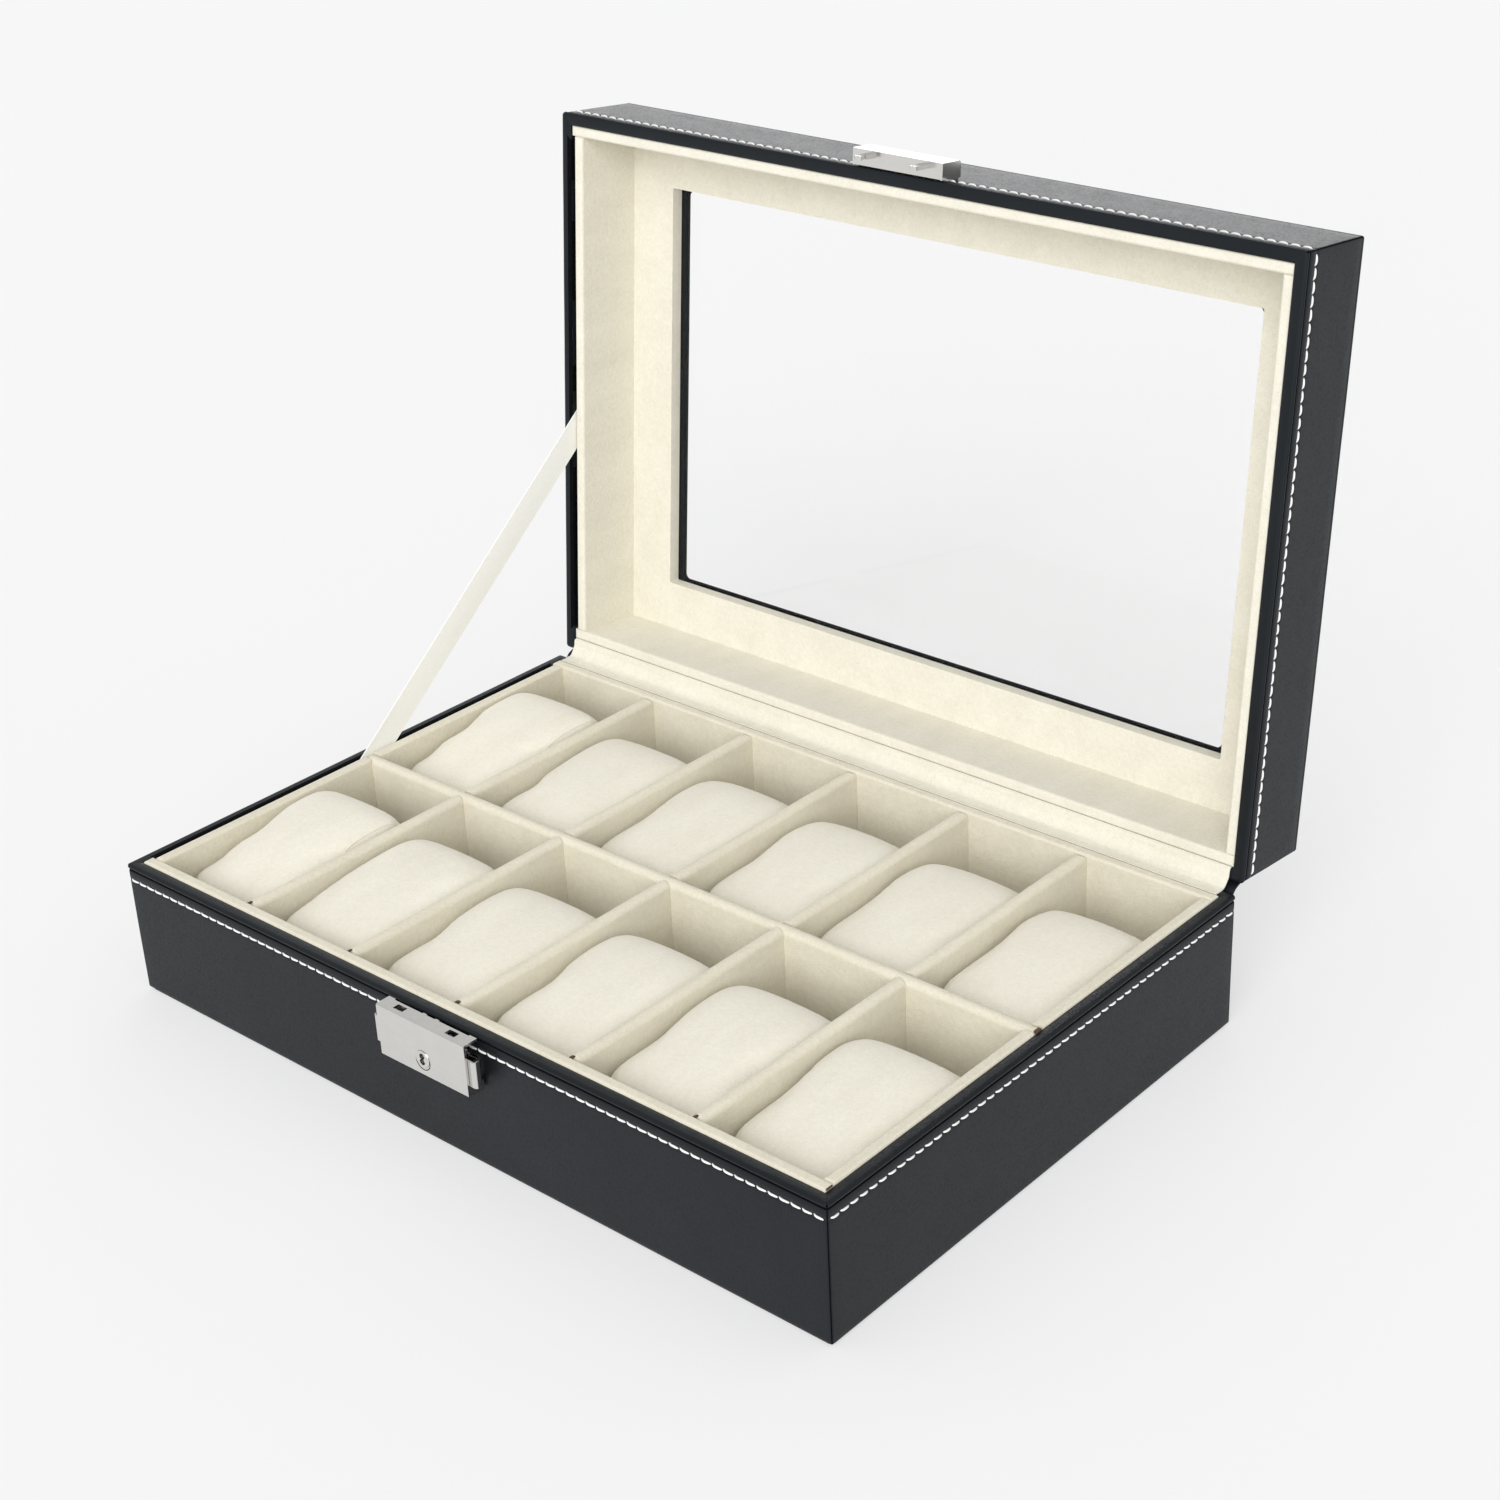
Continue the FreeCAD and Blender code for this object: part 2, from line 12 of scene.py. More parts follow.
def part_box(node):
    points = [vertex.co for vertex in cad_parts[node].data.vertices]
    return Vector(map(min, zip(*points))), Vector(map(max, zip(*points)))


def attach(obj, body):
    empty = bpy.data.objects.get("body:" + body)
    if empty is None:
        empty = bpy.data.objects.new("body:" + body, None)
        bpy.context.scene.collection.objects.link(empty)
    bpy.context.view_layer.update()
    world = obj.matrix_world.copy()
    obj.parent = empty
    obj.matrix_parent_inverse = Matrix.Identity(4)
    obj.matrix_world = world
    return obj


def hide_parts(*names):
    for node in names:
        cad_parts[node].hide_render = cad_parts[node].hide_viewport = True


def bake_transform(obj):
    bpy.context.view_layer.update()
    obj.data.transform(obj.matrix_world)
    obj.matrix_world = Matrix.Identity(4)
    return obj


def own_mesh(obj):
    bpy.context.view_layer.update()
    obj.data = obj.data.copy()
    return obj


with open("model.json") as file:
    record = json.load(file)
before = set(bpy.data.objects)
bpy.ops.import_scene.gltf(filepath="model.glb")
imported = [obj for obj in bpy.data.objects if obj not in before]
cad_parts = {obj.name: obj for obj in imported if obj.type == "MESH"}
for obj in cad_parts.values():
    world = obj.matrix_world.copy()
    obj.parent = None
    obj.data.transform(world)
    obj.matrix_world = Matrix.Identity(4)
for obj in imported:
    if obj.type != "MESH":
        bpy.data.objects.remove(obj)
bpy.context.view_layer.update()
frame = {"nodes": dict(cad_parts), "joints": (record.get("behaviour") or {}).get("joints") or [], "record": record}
nodes = frame["nodes"]
MM = 0.001

# ---------------------------------------------------------------- places, from the frame
hinge = next(joint for joint in frame["joints"] if joint["name"] == "lid_hinge")
HINGE_POINT = Vector(hinge["pos_m"])
OPEN_ANGLE = math.radians(-hinge["range_deg"][0])
SHUT_TO_OPEN = (Matrix.Translation(HINGE_POINT) @ Matrix.Rotation(OPEN_ANGLE, 4, Vector(hinge["axis"]))
                @ Matrix.Translation(-HINGE_POINT))
OPEN_TO_SHUT = SHUT_TO_OPEN.inverted()


def shut_box(node):
    """Lowest and highest corner of a lid node, with the lid shut."""
    points = [OPEN_TO_SHUT @ v.co for v in nodes[node].data.vertices]
    low = Vector([min(p[i] for p in points) for i in range(3)])
    high = Vector([max(p[i] for p in points) for i in range(3)])
    return low, high


base_low, base_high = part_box("base_leather_wrap")
lid_low, lid_high = shut_box("lid_leather_wrap")
half_x = base_high.x
half_y = base_high.y
rim_z = base_high.z
rim = half_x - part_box("base_right")[0].x          # width of the leather rim
liner_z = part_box("liner_front")[1].z
cell_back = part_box("liner_back")[0].y             # front face of the rear liner
window_high = shut_box("glass_pane")[1]
pillow_names = [name for name in sorted(nodes) if name.startswith("pillow_")]
ribbon_low, ribbon_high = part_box("ribbon_stay")

# sizes that the frame doesn't hold
CORNER = 1.0 * MM            # radius of the upright corners
BEAD = (1.3 * MM, 0.85 * MM)  # half width and half height of the rolled edge at each rim
BEAD_OUT = 0.3 * MM          # the rolled edge stands proud of the wall
FOLD_SHADE_DEPTHS = (1.4 * MM, 2.45 * MM)  # of the painted shade in the fold under the rolled edge, behind the rim
SEAM = 0.22 * MM             # depth of the upright corner seams
WAVINESS = 0.10 * MM         # how far the leather's walls sink in places
WAVES_PER_METRE = 32
STITCH_DROP = 5.6 * MM       # stitch line to rim
STITCH_PITCH = 4.0 * MM
STITCH_LENGTH = 3.6 * MM
THREAD = 0.35 * MM           # radius of the thread
THREAD_RISE = 0.48 * MM      # the middle of a stitch, above its ends
THREAD_DIVE = 0.30 * MM      # the ends of a stitch, inside the leather
GLASS_OVERLAP = 8.0 * MM     # the glass reaches past the leather's edge
WINDOW_X = window_high.x - GLASS_OVERLAP
WINDOW_Y = window_high.y - GLASS_OVERLAP
WINDOW_RADIUS = 2.0 * MM
LEATHER_THICK = 0.5 * MM
LEATHER_REACH = 9.0 * MM     # the leather goes this far down inside the rims


# ---------------------------------------------------------------- node helpers
def new_material(name):
    """A material with one plain shader, and its node tree."""
    material = bpy.data.materials.new(name)
    material.use_nodes = True
    tree = material.node_tree
    tree.nodes.clear()
    output = tree.nodes.new("ShaderNodeOutputMaterial")
    shader = tree.nodes.new("ShaderNodeBsdfPrincipled")
    tree.links.new(shader.outputs["BSDF"], output.inputs["Surface"])
    return material, tree, shader


def object_coordinates(tree, stretch=(1, 1, 1)):
    """The object's own coordinates; a stretch below 1 makes features longer along that axis."""
    coordinates = tree.nodes.new("ShaderNodeTexCoord")
    mapping = tree.nodes.new("ShaderNodeMapping")
    mapping.inputs["Scale"].default_value = stretch
    tree.links.new(coordinates.outputs["Object"], mapping.inputs["Vector"])
    return mapping.outputs["Vector"]


def noise_at(tree, vector, size, detail=2.0, rough=0.5):
    """Noise with features of about that size, in metres."""
    node = tree.nodes.new("ShaderNodeTexNoise")
    node.inputs["Scale"].default_value = 1 / size
    node.inputs["Detail"].default_value = detail
    node.inputs["Roughness"].default_value = rough
    tree.links.new(vector, node.inputs["Vector"])
    return node.outputs["Fac"]


def cells_at(tree, vector, size):
    """Soft cells of about that size, in metres."""
    node = tree.nodes.new("ShaderNodeTexVoronoi")
    node.feature = "SMOOTH_F1"
    node.inputs["Scale"].default_value = 1 / size
    tree.links.new(vector, node.inputs["Vector"])
    return node.outputs["Distance"]


def ramp(tree, value, low, high, at=(0.3, 0.7)):
    """Blends from one colour or grey to another as value rises."""
    node = tree.nodes.new("ShaderNodeValToRGB")
    for element, position, colour in zip(node.color_ramp.elements, at, (low, high)):
        element.position = position
        element.color = (colour, colour, colour, 1) if isinstance(colour, float) else (*colour, 1)
    tree.links.new(value, node.inputs["Fac"])
    return node.outputs["Color"]


def add_up(tree, parts):
    """The weighted sum of several values."""
    total = None
    for value, weight in parts:
        scaled = tree.nodes.new("ShaderNodeMath")
        scaled.operation = "MULTIPLY_ADD"
        tree.links.new(value, scaled.inputs[0])
        scaled.inputs[1].default_value = weight
        scaled.inputs[2].default_value = 0
        if total is not None:
            tree.links.new(total, scaled.inputs[2])
        total = scaled.outputs[0]
    return total


def bump(tree, shader, height, distance, strength=1.0):
    """Relief of a material, distance metres deep."""
    node = tree.nodes.new("ShaderNodeBump")
    node.inputs["Distance"].default_value = distance
    node.inputs["Strength"].default_value = strength
    tree.links.new(height, node.inputs["Height"])
    tree.links.new(node.outputs["Normal"], shader.inputs["Normal"])


# ---------------------------------------------------------------- materials
def leather_material():
    material, tree, shader = new_material("black_leather")
    vector = object_coordinates(tree)
    cloud = noise_at(tree, vector, 40 * MM, 3)
    grain = cells_at(tree, vector, 0.7 * MM)
    pores = noise_at(tree, vector, 0.3 * MM, 3, 0.6)
    soft = noise_at(tree, vector, 7 * MM, 2)
    tone = add_up(tree, [(cloud, 0.8), (pores, 0.2)])
    tree.links.new(ramp(tree, tone, (0.0062, 0.0074, 0.0095), (0.0095, 0.0110, 0.0135)),
                   shader.inputs["Base Color"])
    gloss = add_up(tree, [(soft, 0.25), (grain, 0.75)])
    tree.links.new(ramp(tree, gloss, 0.38, 0.50), shader.inputs["Roughness"])
    shader.inputs["Specular IOR Level"].default_value = 0.22
    shader.inputs["Specular Tint"].default_value = (0.84, 0.94, 1.0, 1)
    height = add_up(tree, [(grain, 0.6), (pores, 0.3), (soft, 0.15)])
    bump(tree, shader, height, 0.05 * MM, 0.8)
    return material


def painted_shade_material():
    """Painted shade: a near-black colour that stands for the unlit bottom of folds, seams and gaps in the leather.
    """
    material, tree, shader = new_material("leather_painted_shade")
    cloud = noise_at(tree, object_coordinates(tree), 2 * MM, 2)
    tree.links.new(ramp(tree, cloud, (0.002, 0.002, 0.0025), (0.004, 0.004, 0.005)),
                   shader.inputs["Base Color"])
    shader.inputs["Roughness"].default_value = 0.9
    shader.inputs["Specular IOR Level"].default_value = 0.05
    return material


def velvet_material(name, light, dark, pile):
    """Short-pile velvet between two colours; pile is the depth of its relief."""
    material, tree, shader = new_material(name)
    vector = object_coordinates(tree)
    nap = noise_at(tree, object_coordinates(tree, (1.0, 0.35, 1.0)), 11 * MM, 3, 0.55)
    fibre = noise_at(tree, vector, 0.45 * MM, 3, 0.65)
    fleck = noise_at(tree, vector, 1.6 * MM, 2, 0.6)
    tone = add_up(tree, [(nap, 0.25), (fleck, 0.25), (fibre, 0.5)])
    tree.links.new(ramp(tree, tone, dark, light, (0.36, 0.62)), shader.inputs["Base Color"])
    shader.inputs["Roughness"].default_value = 0.95
    shader.inputs["Specular IOR Level"].default_value = 0.15
    shader.inputs["Sheen Weight"].default_value = 0.28
    shader.inputs["Sheen Roughness"].default_value = 0.45
    shader.inputs["Sheen Tint"].default_value = (1.0, 0.985, 0.95, 1)
    height = add_up(tree, [(fibre, 0.7), (fleck, 0.7), (nap, 0.4)])
    bump(tree, shader, height, pile, 0.8)
    return material


def board_material():
    material, tree, shader = new_material("raw_fibreboard")
    vector = object_coordinates(tree)
    fibre = noise_at(tree, vector, 0.5 * MM, 4, 0.7)
    tree.links.new(ramp(tree, fibre, (0.05, 0.028, 0.018), (0.13, 0.075, 0.045)),
                   shader.inputs["Base Color"])
    shader.inputs["Roughness"].default_value = 0.85
    bump(tree, shader, fibre, 0.15 * MM)
    return material


def felt_material():
    material, tree, shader = new_material("black_felt")
    vector = object_coordinates(tree)
    fibre = noise_at(tree, vector, 0.7 * MM, 4, 0.7)
    tree.links.new(ramp(tree, fibre, (0.012, 0.012, 0.013), (0.035, 0.035, 0.037)),
                   shader.inputs["Base Color"])
    shader.inputs["Roughness"].default_value = 0.97
    shader.inputs["Sheen Weight"].default_value = 0.2
    bump(tree, shader, fibre, 0.25 * MM)
    return material


def nickel_material():
    material, tree, shader = new_material("nickel")
    vector = object_coordinates(tree, (0.12, 1.0, 1.0))
    brushed = noise_at(tree, vector, 0.35 * MM, 3, 0.6)
    patch = noise_at(tree, object_coordinates(tree), 6 * MM, 2)
    wear = add_up(tree, [(brushed, 0.6), (patch, 0.4)])
    tree.links.new(ramp(tree, wear, (0.66, 0.65, 0.63), (0.71, 0.70, 0.68)),
                   shader.inputs["Base Color"])
    tree.links.new(ramp(tree, wear, 0.16, 0.22), shader.inputs["Roughness"])
    shader.inputs["Metallic"].default_value = 1.0
    bump(tree, shader, patch, 0.02 * MM, 0.4)
    return material


def steel_material():
    material, tree, shader = new_material("spring_steel")
    vector = object_coordinates(tree)
    cloud = noise_at(tree, vector, 2 * MM)
    tree.links.new(ramp(tree, cloud, (0.35, 0.35, 0.36), (0.5, 0.5, 0.51)), shader.inputs["Base Color"])
    shader.inputs["Metallic"].default_value = 1.0
    shader.inputs["Roughness"].default_value = 0.3
    return material


def thread_material():
    material, tree, shader = new_material("white_thread")
    vector = object_coordinates(tree)
    ply = noise_at(tree, vector, 0.3 * MM, 2)
    tree.links.new(ramp(tree, ply, (0.84, 0.84, 0.83), (0.95, 0.95, 0.94)), shader.inputs["Base Color"])
    shader.inputs["Roughness"].default_value = 0.7
    shader.inputs["Sheen Weight"].default_value = 0.3
    bump(tree, shader, ply, 0.08 * MM)
    return material


def ribbon_material():
    material, tree, shader = new_material("satin_ribbon")
    vector = object_coordinates(tree)
    weave = noise_at(tree, vector, 0.5 * MM, 2)
    tree.links.new(ramp(tree, weave, (0.88, 0.88, 0.83), (0.94, 0.94, 0.91)), shader.inputs["Base Color"])
    shader.inputs["Roughness"].default_value = 0.42
    shader.inputs["Sheen Weight"].default_value = 0.3
    bump(tree, shader, weave, 0.05 * MM)
    return material


def glass_material():
    material, tree, shader = new_material("clear_glass")
    vector = object_coordinates(tree)
    film = noise_at(tree, vector, 60 * MM, 2)
    tree.links.new(ramp(tree, film, 0.01, 0.04), shader.inputs["Roughness"])
    shader.inputs["Base Color"].default_value = (1.0, 1.0, 1.0, 1)
    shader.inputs["Transmission Weight"].default_value = 1.0
    shader.inputs["IOR"].default_value = 1.2
    return material


LEATHER = leather_material()
# near-black painted shade for folds, seams and gaps
PAINTED_SHADE = painted_shade_material()
VELVET = velvet_material("cream_velvet", (0.83, 0.80, 0.695), (0.71, 0.675, 0.565), 0.32 * MM)
# a darker copy of the cream velvet: painted shade for the deep compartments
SHADED_COMPARTMENT_VELVET = velvet_material("compartment_velvet_painted_shade", (0.79, 0.75, 0.625), (0.665, 0.62, 0.495), 0.32 * MM)
PILLOW = velvet_material("pillow_velvet", (0.865, 0.835, 0.735), (0.765, 0.725, 0.615), 0.24 * MM)
BOARD = board_material()
FELT = felt_material()
NICKEL = nickel_material()
STEEL = steel_material()
THREAD_WHITE = thread_material()
RIBBON = ribbon_material()
GLASS = glass_material()

SLOT_MATERIALS = {"leather": LEATHER, "velvet": VELVET, "pillow_velvet": PILLOW, "felt": FELT,
                  "ribbon": RIBBON, "fibreboard": BOARD, "nickel": NICKEL, "spring_steel": STEEL,
                  "glass": GLASS}
SHADE_PAINTED_BOARDS = ("cross_divider", "long_divider", "floor_pad", "liner_")
SHARP_EDGE = math.radians(35)            # flat faces that meet at more than this stay creased


def dress_cad_nodes():
    """Gives every CAD node the material of its slot; the compartments' boards get a darker copy of the velvet
    instead, as painted shade for their deep cells.
    """
    for part in frame["record"]["subparts"]:
        node = nodes[part["node"]]
        node.data.materials.clear()
        material = SLOT_MATERIALS[part["material_slot"]]
        # painted shade: the compartments' boards take the darker copy of the velvet
        if part["node"].startswith(SHADE_PAINTED_BOARDS):
            material = SHADED_COMPARTMENT_VELVET
        node.data.materials.append(material)
        node.data.polygons.foreach_set("use_smooth", [True] * len(node.data.polygons))
        node.data.set_sharp_from_angle(angle=SHARP_EDGE)


# ---------------------------------------------------------------- mesh helpers
def make_object(name, vertices, faces, material, smooth=True):
    mesh = bpy.data.meshes.new(name)
    mesh.from_pydata([tuple(v) for v in vertices], [], faces)
    mesh.validate()
    mesh.materials.append(material)
    mesh.polygons.foreach_set("use_smooth", [smooth] * len(mesh.polygons))
    piece = bpy.data.objects.new(name, mesh)
    bpy.context.scene.collection.objects.link(piece)
    return piece


def rounded_ring(x, y, radius, z, pinch):
    """Points round a rectangle with round corners; the middle of each corner is pinched in."""
    step = 5 * MM
    corner_steps = 8
    count_x = round(2 * half_x / step)
    count_y = round(2 * half_y / step)
    points = []
    corners = [(1, -1, -90), (1, 1, 0), (-1, 1, 90), (-1, -1, 180)]
    for i, (sx, sy, start) in enumerate(corners):
        centre = Vector((sx * (x - radius), sy * (y - radius), z))
        for k in range(corner_steps + 1):
            angle = math.radians(start + 90 * k / corner_steps)
            reach = radius - (pinch if k == corner_steps // 2 else 0)
            points.append(centre + Vector((math.cos(angle), math.sin(angle), 0)) * reach)
        sx2, sy2, start2 = corners[(i + 1) % 4]
        end_angle = math.radians(start2)
        end = Vector((sx2 * (x - radius), sy2 * (y - radius), z))
        end += Vector((math.cos(end_angle), math.sin(end_angle), 0)) * radius
        count = count_y if i % 2 == 0 else count_x
        begin = points[-1]
        points += [begin.lerp(end, k / count) for k in range(1, count)]
    return points


def tube_faces(first, rings, sides, closed):
    """Faces between rings of that many sides, whose vertices begin at number first."""
    faces = []
    for i in range(rings if closed else rings - 1):
        here = first + i * sides
        there = first + (i + 1) % rings * sides
        for k in range(sides):
            m = (k + 1) % sides
            faces.append((here + k, here + m, there + m, there + k))
    return faces


def loft(rings, closed_profile=True):
    """Vertices and faces of rings of equal length, joined one to the next."""
    vertices = [p for ring in rings for p in ring]
    return vertices, tube_faces(0, len(rings), len(rings[0]), closed_profile)


def arc(centre, radius, start, end, steps):
    """Points on an arc in a profile, angles in degrees."""
    angles = [math.radians(start + (end - start) * k / steps) for k in range(steps + 1)]
    return [(centre[0] + radius * math.cos(a), centre[1] + radius * math.sin(a)) for a in angles]


# ---------------------------------------------------------------- leather wraps
def rim_profile():
    """(inset, depth behind the rim) from inside the rim, round the rolled edge, to the wall."""
    half_wide, half_tall = BEAD
    profile = [(rim + 0.08 * MM, LEATHER_REACH), (rim + 0.08 * MM, 0.6 * MM), (rim + 0.03 * MM, 0.38 * MM),
               (rim - 0.2 * MM, 0.22 * MM), (2.4 * MM, 0.10 * MM)]
    for angle in range(90, 241, 15):
        turn = math.radians(angle)
        profile.append((half_wide - BEAD_OUT + half_wide * math.cos(turn),
                        half_tall - half_tall * math.sin(turn)))
    profile += [(0.38 * MM, 1.75 * MM), (0.38 * MM, 2.1 * MM), (0.15 * MM, 2.35 * MM), (0.0, 2.6 * MM)]
    # the stitches pull in a shallow channel
    profile += [(0.0, STITCH_DROP - 0.8 * MM), (0.15 * MM, STITCH_DROP - 0.25 * MM),
                (0.15 * MM, STITCH_DROP + 0.25 * MM), (0.0, STITCH_DROP + 0.8 * MM)]
    return profile


def wavy(points, seed):
    """Leather isn't perfectly flat: moves points inwards by a smooth small noise."""
    moved = []
    for p in points:
        dent = abs(noise.noise(p * WAVES_PER_METRE + Vector((seed, 0, 0))))
        outward = Vector((p.x / half_x, p.y / half_y, 0))
        moved.append(p - outward * dent * WAVINESS)
    return moved


def recalculate(piece):
    """Turns every face outwards."""
    mesh = bmesh.new()
    mesh.from_mesh(piece.data)
    bmesh.ops.recalc_face_normals(mesh, faces=mesh.faces)
    mesh.to_mesh(piece.data)
    mesh.free()


def gets_painted_shade(point, fold_shade_span):
    """Whether a point of the leather gets painted shade: in a fold, in a corner seam or in the ribbon's slot."""
    beside_x = abs(point.x) > half_x - 0.6 * MM
    beside_y = abs(point.y) > half_y - 0.6 * MM
    in_fold_shade = fold_shade_span[0] < point.z < fold_shade_span[1] and (beside_x or beside_y)
    in_seam_shade = abs(point.x) > half_x - 0.5 * MM and abs(point.y) > half_y - 0.5 * MM
    in_slot_shade = -half_x + 2.4 * MM < point.x < -half_x + rim + 0.1 * MM and abs(point.y) < cell_back
    return in_fold_shade or in_seam_shade or in_slot_shade


def leather_wrap(name, node, body, profile, fold_shade_span, seed, matrix):
    """A leather covering lofted through (half x, half y, radius, z, pinch) rings."""
    rings = [wavy(rounded_ring(x, y, radius, z, pinch), seed) for x, y, radius, z, pinch in profile]
    vertices, faces = loft(rings)
    piece = make_object(name, vertices, faces, LEATHER)
    # faces in the folds, the corner seams and the ribbon's slot get painted shade
    piece.data.materials.append(PAINTED_SHADE)
    for face in piece.data.polygons:
        if gets_painted_shade(face.center, fold_shade_span):
            face.material_index = 1
    piece.data.transform(matrix)
    recalculate(piece)
    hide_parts(node)
    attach(piece, body)


def ring_at(inset, z, pinch=0.0):
    """A ring of leather_wrap's profile, that far inside the outer walls."""
    return (half_x - inset, half_y - inset, max(CORNER - 2 * inset, 0.2 * MM), z, pinch)


def wall_rings(z0, z1, count):
    """Rings up or down a flat wall, with its corner seams."""
    return [ring_at(0, z0 + (z1 - z0) * k / count, SEAM) for k in range(count + 1)]


def base_wrap():
    """From inside the rim over the rolled edge, down the walls and under the bottom, and back up."""
    rings = [ring_at(inset, rim_z - depth, SEAM if inset < 0.1 * MM else 0)
             for inset, depth in rim_profile()]
    low = base_low.z
    edge = 0.8 * MM
    rings += wall_rings(rim_z - STITCH_DROP - 2 * MM, low + 2 * MM, 8)
    rings += [ring_at(x, low + edge + z, 0) for x, z in arc((edge, 0), edge, 180, 270, 4)]
    turn_in = 12 * MM
    rings += [ring_at(turn_in, low), ring_at(turn_in, low + LEATHER_THICK),
              ring_at(1.2 * MM, low + LEATHER_THICK), ring_at(0.8 * MM, low + 1.2 * MM),
              ring_at(0.8 * MM, rim_z - 3 * MM), ring_at(1.6 * MM, rim_z - 1.4 * MM),
              ring_at(rim - 0.5 * MM, rim_z - 1.4 * MM), ring_at(rim - 0.4 * MM, rim_z - LEATHER_REACH)]
    fold_shade_span = (rim_z - FOLD_SHADE_DEPTHS[1], rim_z - FOLD_SHADE_DEPTHS[0])
    leather_wrap("base_leather", "base_leather_wrap", "base", rings, fold_shade_span, 3.1, Matrix.Identity(4))


def lid_wrap():
    """As on the base, and over the top to a folded edge round the window."""
    low = lid_low.z
    high = lid_high.z
    rings = [ring_at(inset, low + depth, SEAM if inset < 0.1 * MM else 0)
             for inset, depth in rim_profile()]
    edge = 1.1 * MM
    rings += wall_rings(low + STITCH_DROP + 2 * MM, high - 2.2 * MM, 6)
    rings += [ring_at(0.1 * MM, high - 1.6 * MM, SEAM), ring_at(0.0, high - 1.25 * MM, 0)]
    rings += [ring_at(x, high - edge + z, 0) for x, z in arc((edge, 0), edge, 180, 90, 4)]
    for share, radius in [(0.06, 1.0), (0.3, 1.2), (0.7, 1.6), (0.96, 2.0)]:
        rings.append((half_x + (WINDOW_X - half_x) * share, half_y + (WINDOW_Y - half_y) * share,
                      radius * MM, high, 0))
    fold = 0.35 * MM
    for angle in range(90, -91, -30):
        turn = math.radians(angle)
        out = fold * (1 - math.cos(turn))
        rings.append((WINDOW_X + out, WINDOW_Y + out, WINDOW_RADIUS,
                      high - fold + fold * math.sin(turn), 0))
    under = high - 2 * fold
    for out in (1.2 * MM, 1.6 * MM, 2.0 * MM, 6.0 * MM):
        dip = 0.22 * MM if out == 1.6 * MM else 0.0        # the hem's edge under the glass
        rings.append((WINDOW_X + out, WINDOW_Y + out, WINDOW_RADIUS, under + dip, 0))
    rings += [(window_high.x + 1 * MM, window_high.y + 1 * MM, WINDOW_RADIUS, high - LEATHER_THICK, 0),
              ring_at(1.6 * MM, high - 1.2 * MM), ring_at(0.8 * MM, high - 3 * MM),
              ring_at(0.8 * MM, low + 3 * MM), ring_at(1.6 * MM, low + 1.4 * MM),
              ring_at(rim - 0.5 * MM, low + 1.4 * MM), ring_at(rim - 0.4 * MM, low + LEATHER_REACH)]
    fold_shade_span = (low + FOLD_SHADE_DEPTHS[0], low + FOLD_SHADE_DEPTHS[1])
    leather_wrap("lid_leather", "lid_leather_wrap", "lid", rings, fold_shade_span, 8.7, SHUT_TO_OPEN)


# ---------------------------------------------------------------- stitching
def thread_stitch(start, end, out, vertices, faces):
    """One stitch: a short thread whose ends dive into the leather."""
    sides = 6
    steps = 6
    run = end - start
    side = run.normalized().cross(out)
    first = len(vertices)
    for i in range(steps + 1):
        t = i / steps
        lift = math.sin(math.pi * t) ** 0.4 * THREAD_RISE - THREAD_DIVE
        sway = math.sin(2 * math.pi * t) * 0.10 * MM
        centre = start + run * t + out * lift + side * sway
        radius = THREAD * (0.75 + 0.25 * math.sin(math.pi * t))
        for k in range(sides):
            angle = 2 * math.pi * k / sides
            vertices.append(centre + (side * math.cos(angle) * 1.1 + out * math.sin(angle)) * radius)
    faces += tube_faces(first, steps + 1, sides, closed=False)
    faces.append(tuple(first + k for k in range(sides))[::-1])
    faces.append(tuple(first + steps * sides + k for k in range(sides)))


def stitch_run(start, end, out, vertices, faces, rng):
    """A straight row of stitches, each slightly aslant to the row."""
    length = (end - start).length
    along = (end - start).normalized()
    across = along.cross(out)
    count = int(length / STITCH_PITCH)
    pitch = length / count
    for i in range(count):
        middle = start + along * (i + 0.5) * pitch
        slant = across * rng.uniform(0.20, 0.34) * MM
        half = along * STITCH_LENGTH * rng.uniform(0.47, 0.52)
        thread_stitch(middle - half - slant, middle + half + slant, out, vertices, faces)


def stitching(name, body, z, matrix, seed):
    """White top-stitching round the front and both sides."""
    rng = random.Random(seed)
    vertices = []
    faces = []
    x = half_x - 0.1 * MM                       # the thread sinks into the wall a little
    y = half_y - 0.1 * MM
    end_x = half_x - 1.2 * MM                   # each row stops short of the corners
    end_y = half_y - 1.2 * MM
    runs = [((-x, end_y), (-x, -end_y), (-1, 0)), ((-end_x, -y), (end_x, -y), (0, -1)),
            ((x, -end_y), (x, end_y), (1, 0))]
    for start, end, out in runs:
        stitch_run(Vector((*start, z)), Vector((*end, z)), Vector((*out, 0)), vertices, faces, rng)
    piece = make_object(name, [matrix @ v for v in vertices], faces, THREAD_WHITE)
    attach(piece, body)


# ---------------------------------------------------------------- pillows
# a pillow from its side, in millimetres from its front and its underside: up the front, over, down
PILLOW_OUTLINE = [(0.0, 12.0), (1.0, 21.0), (4.0, 28.0), (8.5, 32.2), (13.0, 33.6), (20.0, 34.5),
                  (36.0, 36.2), (50.0, 37.3), (59.0, 36.8), (65.0, 35.0), (69.5, 31.6), (72.2, 26.0),
                  (72.5, 12.0), (71.5, 2.5), (66.0, 0.0), (36.0, 0.0), (6.0, 0.0), (0.8, 2.5)]
PILLOW_LENGTH = 72.5
TOP_FROM = 18                # from this height up, lift and tilt set in
TOP_BLEND = 14               # and over this height they grow to their full amount
CROWN = 1.5 * MM             # the middle of the top, above its sides
EDGE_DROP = 1.7 * MM         # the top rounds off towards its sides
VOXEL = 4.0 * MM             # mesh size of the pillows
SWELL = 1.5 * MM             # how far a point may move while the pillow is blown up
SIM_FRAMES = 20
PRESSURE = 4.0
SQUEEZE = 0.42 * MM          # a pillow bulges past its solid, almost to the dividers
SEAM_TUBE = 0.3 * MM         # radius of the sewn seams
SEAM_INSET = 2.0 * MM        # from the pillow's sides
